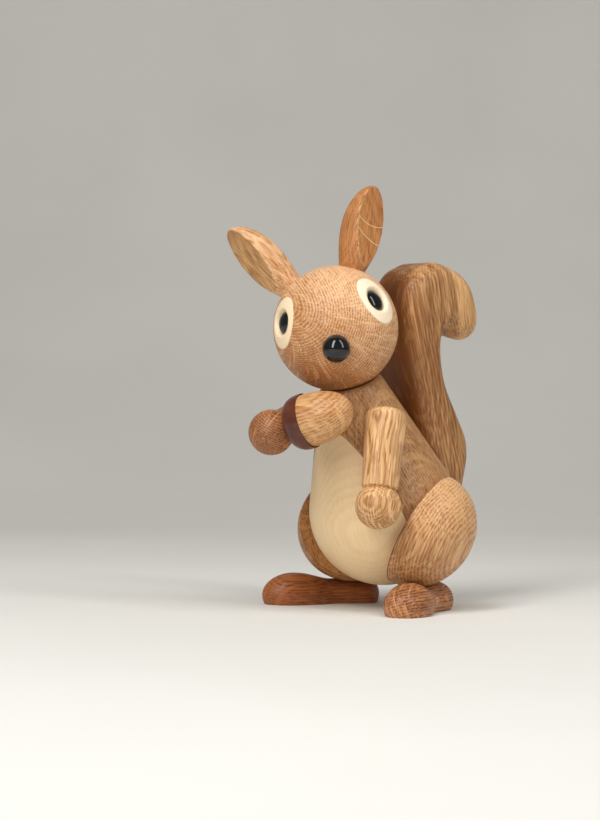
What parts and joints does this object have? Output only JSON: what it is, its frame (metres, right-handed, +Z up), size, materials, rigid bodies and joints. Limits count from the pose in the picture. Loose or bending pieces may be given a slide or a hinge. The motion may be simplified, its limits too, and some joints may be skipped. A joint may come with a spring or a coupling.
{
  "type": "squirrel figurine",
  "caption": "Turned oak squirrel ornament leaning forward on flat feet, with a turning head, swinging arms and a pull-off acorn held by a magnet.",
  "frame": {"origin": "on the floor, under the middle of the whole figure's box at rest", "axes": "+Z up, the squirrel faces -Y, +X is the squirrel's left"},
  "size_m": [0.0992, 0.1316, 0.2041],
  "materials": {
    "oak": "oiled oak, satin",
    "oak_thigh": "oiled oak, satin",
    "oak_tail": "oiled oak, satin",
    "foot_wood": "oiled red-brown oak, satin",
    "maple": "oiled maple, satin",
    "eye_maple": "pale maple, satin",
    "black_gloss": "black, polished",
    "acorn_cap": "dark stained, satin",
    "beech_dowel": "plain dowel",
    "rubber_ring": "soft rubber",
    "magnet": "plated"
  },
  "bodies": {
    "figure": {"torso": "oak", "belly_panel": "maple", "tail": "oak_tail", "tail_dowel": "beech_dowel", "neck_dowel": "beech_dowel", "neck_ring": "rubber_ring", "left_thigh": "oak_thigh", "left_thigh_dowel": "beech_dowel", "left_foot": "foot_wood", "left_ankle_dowel": "beech_dowel", "left_shoulder_dowel": "beech_dowel", "left_shoulder_ring": "rubber_ring", "right_thigh": "oak_thigh", "right_thigh_dowel": "beech_dowel", "right_foot": "foot_wood", "right_ankle_dowel": "beech_dowel", "right_shoulder_dowel": "beech_dowel", "right_shoulder_ring": "rubber_ring"},
    "head": {"head": "oak", "nose": "black_gloss", "left_ear": "oak", "left_eye_white": "eye_maple", "left_pupil": "black_gloss", "right_ear": "oak", "right_eye_white": "eye_maple", "right_pupil": "black_gloss"},
    "left_arm": {"left_arm": "oak"},
    "right_arm": {"right_arm": "oak", "hand_magnet": "magnet"},
    "acorn": {"acorn_nut": "oak", "acorn_cap": "acorn_cap", "acorn_magnet": "magnet"}
  },
  "joints": [
    {"name": "head_turn", "type": "hinge", "parent": "figure", "child": "head", "pos_m": [0.00147, -0.02411, 0.13559], "axis": [0, -0.3746, 0.9272], "continuous": true},
    {"name": "left_arm_swing", "type": "hinge", "parent": "figure", "child": "left_arm", "pos_m": [0.02177, -0.01377, 0.09134], "axis": [-0.8946, 0.4069, -0.1849], "range_deg": [0, 16]},
    {"name": "right_arm_swing", "type": "hinge", "parent": "figure", "child": "right_arm", "pos_m": [-0.01882, -0.01377, 0.09134], "axis": [-0.8946, -0.4069, 0.1849], "range_deg": [-30, 10]},
    {"name": "acorn_pull", "type": "slide", "parent": "right_arm", "child": "acorn", "axis": [0.378, -0.9095, -0.1728], "range_m": [0, 0.06]}
  ]
}
